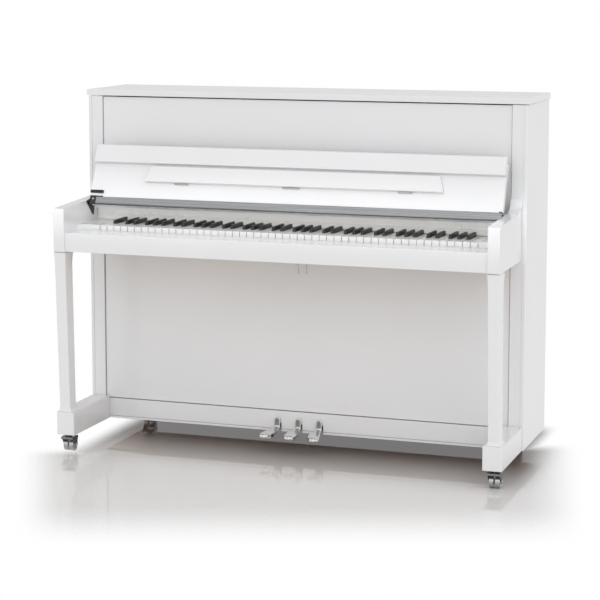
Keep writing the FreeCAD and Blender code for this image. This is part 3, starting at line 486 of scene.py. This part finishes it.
for corner in ("front_left", "front_right", "rear_left", "rear_right"):
    low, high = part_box("caster_fork_" + corner)
    x, y = (low.x + high.x) / 2 / MM, low.y / MM + TURNTABLE_RADIUS
    swivel, roller = "caster_" + corner, "wheels_" + corner
    hub_y, hub_z = y + TRAIL, WHEEL_RADIUS
    bm = bmesh.new()
    lathe(bm, TURNTABLE, (x, y, 0), UPRIGHT, steps=56)
    lathe(bm, KINGPIN, (x, y, 0), UPRIGHT, steps=40)
    finished("caster_turntable_" + corner, bm, "caster_metal", swivel, rounding=0.3)
    bm = bmesh.new()
    prism(bm, [(y + a, b) for a, b in HOOD_OUTLINE], 0, x - LEG_OUTER, x + LEG_OUTER)
    finished("caster_hood_" + corner, bm, "caster_metal", swivel, rounding=1.2,
             stands_for=["caster_fork_" + corner])
    bm = bmesh.new()
    for side in BOTH_SIDES:
        ends = sorted((x + side * LEG_INNER, x + side * LEG_OUTER))
        prism(bm, [(y + a, b) for a, b in LEG_OUTLINE], 0, *ends)
    finished("caster_legs_" + corner, bm, "caster_metal", swivel, rounding=0.6)
    bm = bmesh.new()
    for side in BOTH_SIDES:
        lathe(bm, CAP_PROFILE, (x + side * LEG_OUTER, hub_y, hub_z), (side, 0, 0), steps=32)
    lathe(bm, AXLE_PROFILE, (x, hub_y, hub_z), ACROSS, steps=32)
    finished("caster_axle_" + corner, bm, "steel", swivel, rounding=0.3)
    bm = bmesh.new()
    for side in BOTH_SIDES:
        lathe(bm, WHEEL_PROFILE, (x + side * WHEEL_SPACE, hub_y, hub_z), (side, 0, 0), steps=72)
    finished("caster_rollers_" + corner, bm, "caster_wheel", roller,
             stands_for=["caster_wheels_" + corner], rounding=0.3)
    # Painted shade: black discs half sunk in each wheel's face stand for the dark inside its holes.
    bm = bmesh.new()
    for side in BOTH_SIDES:
        for angle in turns(HOLE_COUNT):
            spot = (x + side * WHEEL_SPACE, hub_y + HOLE_CIRCLE * math.cos(angle),
                    hub_z + HOLE_CIRCLE * math.sin(angle))
            lathe(bm, HOLE_PROFILE, spot, (side, 0, 0), steps=20)
    finished("caster_roller_hole_shade_" + corner, bm, "black_plastic", roller, rounding=0.15)

# ---------------------------------------------------------------- fallboard edge
# The fallboard leans: its own y runs into the board and its own z up it, from the top of the
# metal strip. Each piece has an outline in those, and stops short of the strip's ends by an inset.

FACE_Y, FACE_Z, LEAN = -112, 803, math.radians(24)
EDGE_DARK_LINE, DARK_LINE_INSET = [(-3.2, -26.8), (-2.3, -26.8), (-2.3, -24.6), (-3.2, -24.6)], 0.6
BEAD_Y, BEAD_Z, BEAD_RADIUS, BEAD_STEPS, BEAD_INSET = -2.4, -22.6, 1.0, 12, 0.4
BLOCK, BLOCK_INSET, BLOCK_LENGTH = [
    (-4.6, 1), (-4.6, -19), (-3.4, -25.5), (-1.2, -27), (-1.2, 1)], 0.3, 21
# The screw's radius and height, and its place on the block.
SCREW = [(0.2, 0), (3.1, 0), (2.9, 0.7), (1.6, 1.1), (0.2, 1.1)]
SCREW_INSET, SCREW_PLACE = 12, (-4.6, -8)


def on_board(y, z):
    """A point of the fallboard's own frame as Y and Z in the CAD frame, in mm."""
    return (FACE_Y + y * math.cos(LEAN) + z * math.sin(LEAN),
            FACE_Z - y * math.sin(LEAN) + z * math.cos(LEAN))


strip_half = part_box("fallboard_strip")[1].x / MM
# A black strip along the metal strip's lower edge draws a dark line there.
bm = bmesh.new()
prism(bm, [on_board(a, b) for a, b in EDGE_DARK_LINE], 0,
      -strip_half + DARK_LINE_INSET, strip_half - DARK_LINE_INSET)
finished("fallboard_edge_dark_line", bm, "black_plastic", "fallboard", rounding=0.3)
bead = [on_board(BEAD_Y + BEAD_RADIUS * math.cos(a), BEAD_Z + BEAD_RADIUS * math.sin(a))
        for a in turns(BEAD_STEPS)]
bm = bmesh.new()
prism(bm, bead, 0, -strip_half + BEAD_INSET, strip_half - BEAD_INSET)
finished("fallboard_strip_bead", bm, "strip", "fallboard")

# A moulded block caps the strip's left end and holds a steel screw.
board_front = Vector((0, -math.cos(LEAN), math.sin(LEAN)))
bm = bmesh.new()
prism(bm, [on_board(a, b) for a, b in BLOCK], 0,
      -strip_half + BLOCK_INSET, -strip_half + BLOCK_LENGTH)
finished("fallboard_end_block_left", bm, "black_plastic", "fallboard", rounding=1.2)
bm = bmesh.new()
lathe(bm, SCREW, (-strip_half + SCREW_INSET, *on_board(*SCREW_PLACE)), board_front, steps=20)
finished("fallboard_end_screw_left", bm, "steel", "fallboard", rounding=0.2)

# ---------------------------------------------------------------- keyboard surround

# A felt strip closes the gap between the keys and the nameboard, set back from its front.
FELT_SET_BACK, FELT_THICK, FELT_OVER_KEYS, FELT_INTO_BOARD = 1, 4, 1.2, 0.4
low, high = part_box("nameboard")
key_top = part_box("white_keys_tenor")[1].z / MM
felt_front = low.y / MM + FELT_SET_BACK
felt_back = low.y / MM + (FELT_SET_BACK + FELT_THICK)
felt_foot, felt_top = key_top + FELT_OVER_KEYS, low.z / MM + FELT_INTO_BOARD
bm = bmesh.new()
prism(bm, [(felt_front, felt_foot), (felt_back, felt_foot), (felt_back, felt_top),
           (felt_front, felt_top)], 0, low.x / MM, high.x / MM)
finished("nameboard_felt", bm, "white_felt", "case", rounding=0.5)

# A hollow corner piece eases each key block's front into the arm beside it, up from the keyslip.
COVE, COVE_STEPS, COVE_BELOW_BLOCK = 16, 12, 0.2
low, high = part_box("key_blocks")
block_front, block_top, block_end = low.y / MM, high.z / MM, high.x / MM
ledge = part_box("keyslip")[1].z / MM
for side, name in zip(BOTH_SIDES, ("left", "right")):
    corner_x = side * block_end
    hollow = [(corner_x - side * COVE * (1 - math.sin(a)), block_front - COVE * (1 - math.cos(a)))
              for a in turns(COVE_STEPS, math.pi / 2) + [math.pi / 2]]
    bm = bmesh.new()
    prism(bm, [(corner_x, block_front)] + hollow, 2, ledge, block_top - COVE_BELOW_BLOCK)
    finished("key_block_cove_" + name, bm, "white", "case", rounding=0.8)

# ---------------------------------------------------------------- floor

# Each edge of the floor is solid and then gone at two distances in metres along its heading in
# degrees: in the open, and under the case.
OPEN_EDGES = ((11.8, 0.70, 0.90), (206.5, 0.72, 0.90), (289, 0.62, 1.06), (111.5, -0.06, 0.06))
UNDER_EDGES = ((0, 0.66, 0.73), (180, 0.62, 0.72), (90, 0.45, 0.62), (270, 0.25, 0.35))
# A painted shadow makes its tone dark under the case, and it is pale past the second distance of
# any of these.
PAINTED_SHADOW_EDGES = ((270, -0.10, 0.40), (0, 0.70, 0.84), (180, 0.70, 0.84))
FLOOR_SIZE, FLOOR_CELLS, FLOOR_Z = 2.4, 8, -0.0004


def floor_finish():
    """Pale polished floor with a painted shadow in warm grey round the object, that thins out to
    nothing past its edges.
    """
    made = Finish("studio_floor", ior=1.45)

    def spans(edges):
        """1 within the first distance of every edge, and 0 past the second of any."""
        product = None
        for heading, inside, outside in edges:
            turned = made.add("ShaderNodeMapping", {
                "Vector": made.place, "Rotation": (0, 0, -math.radians(heading))})
            fade = made.span(made.part(turned.outputs["Vector"], "X"), outside, inside,
                             interpolation_type="SMOOTHSTEP")
            product = fade if product is None else made.maths("MULTIPLY", product, fade)
        return product

    grain = made.noise(1.1, 4)
    pale = made.shades(grain, (0.805, 0.797, 0.791), (0.820, 0.812, 0.806))
    # Painted shadow: the floor's colour under and beside the case, where the case would shade it.
    painted_shadow = made.shades(grain, (0.250, 0.215, 0.205), (0.265, 0.230, 0.220))
    made.colour(made.mix(spans(PAINTED_SHADOW_EDGES), pale, painted_shadow)).rough(made.noise(5, 4), 0.03, 0.05)
    whole = made.maths("MAXIMUM", spans(OPEN_EDGES), spans(UNDER_EDGES))
    clear = made.add("ShaderNodeBsdfTransparent").outputs["BSDF"]
    cover = made.add("ShaderNodeMixShader", {
        "Fac": whole, 1: clear, 2: made.shader.outputs["BSDF"]})
    made.feed(cover.outputs["Shader"], made.tree.nodes["Material Output"].inputs["Surface"])
    return made.material


finishes["floor"] = floor_finish()
bm = bmesh.new()
bmesh.ops.create_grid(bm, x_segments=FLOOR_CELLS, y_segments=FLOOR_CELLS, size=FLOOR_SIZE)
floor_mesh = bpy.data.meshes.new("floor")
bm.to_mesh(floor_mesh)
bm.free()
floor = bpy.data.objects.new("floor", floor_mesh)
floor.location.z = FLOOR_Z
bpy.context.scene.collection.objects.link(floor)
paint(floor, "floor")

# ---------------------------------------------------------------- light

# Above the horizon a bright band stands in front and a dim one behind, each a level by height.
# Below it a white backdrop fills a cone behind the object, and the rest is grey.
FRONT_BAND = ((0.0, 0.97), (0.2, 1.08), (0.45, 1.42), (0.7, 1.35), (1.0, 0.88))
BACK_BAND = ((0.0, 0.75), (0.18, 0.70), (0.40, 0.45), (0.60, 0.50), (1.0, 0.72))
FRONT_DIRECTION, FRONT_FADE = (0.64, -0.77, 0), (-0.35, 0.6)
BACKDROP_DIRECTION, BACKDROP_FADE = (-0.325, 0.938, -0.12), (0.91, 0.95)
BACKDROP_LEVEL, LOW_LEVEL, HORIZON = 1, 0.79, 0.0
SKY_SCALE, SKY_BLUE = 2.0, 1.005  # colours are divided by the scale, which is the strength

world = bpy.data.worlds.new("studio")
world.use_nodes = True
bpy.context.scene.world = world
sky = Wiring(world.node_tree)


def sky_colour(level, blue=1.0):
    return (level / SKY_SCALE, level / SKY_SCALE, level / SKY_SCALE * blue)


def band(height, levels):
    """Brightness by height."""
    return sky.ramp(height, [(position, sky_colour(level, SKY_BLUE))
                             for position, level in levels])


direction = sky.add("ShaderNodeTexCoord").outputs["Generated"]
height = sky.part(direction, "Z")
facing = sky.maths("DOT_PRODUCT", direction, FRONT_DIRECTION, "ShaderNodeVectorMath")
behind = sky.maths("DOT_PRODUCT", direction, BACKDROP_DIRECTION, "ShaderNodeVectorMath")
ahead = sky.span(facing, *FRONT_FADE, interpolation_type="SMOOTHSTEP")
upper = sky.mix(ahead, band(height, BACK_BAND), band(height, FRONT_BAND))
lower = sky.mix(sky.span(behind, *BACKDROP_FADE),
                (*sky_colour(LOW_LEVEL), 1), (*sky_colour(BACKDROP_LEVEL), 1))
above = sky.maths("GREATER_THAN", height, HORIZON)
background = sky.tree.nodes["Background"]
sky.feed(sky.mix(above, lower, upper), background.inputs["Color"])
sky.feed(SKY_SCALE, background.inputs["Strength"])


def softbox(name, place, aim, size, power, spread=180):
    """A rectangular area light at place, facing aim, in metres, watts and degrees."""
    data = bpy.data.lights.new(name, "AREA")
    data.spread = math.radians(spread)
    data.shape, data.size, data.size_y, data.energy = "RECTANGLE", size[0], size[1], power
    lamp = bpy.data.objects.new(name, data)
    lamp.location = place
    lamp.rotation_euler = (Vector(aim) - Vector(place)).to_track_quat("-Z", "Y").to_euler()
    bpy.context.scene.collection.objects.link(lamp)


softbox("key_softbox", (3.0, -3.4, 2.6), (0.1, -0.1, 0.6), (2.4, 1.8), 4)
softbox("keyboard_strip_light", (0.0, -2.80, 1.10), (0.0, -0.06, 0.770), (1.7, 0.04), 0.22,
        spread=6)

# ---------------------------------------------------------------- camera

# Metres and degrees; yaw turns left from straight back and pitch looks down.
EYE = (1.93328, -5.638595, 1.491853)
YAW, PITCH, FOCAL_PX = 19.142, 6.880, 1906.4492
IMAGE_PX, SENSOR_MM = 600, 36
SHIFT_X, SHIFT_Y = 0.0111, -0.15
camera_data = bpy.data.cameras.new("camera")
camera_data.sensor_width = SENSOR_MM
camera_data.lens = FOCAL_PX / IMAGE_PX * SENSOR_MM
camera_data.shift_x, camera_data.shift_y = SHIFT_X, SHIFT_Y
camera = bpy.data.objects.new("camera", camera_data)
camera.location = EYE
camera.rotation_euler = (math.radians(90 - PITCH), 0, math.radians(YAW))
bpy.context.scene.collection.objects.link(camera)
bpy.context.scene.camera = camera
bpy.context.scene.view_settings.view_transform = "Standard"
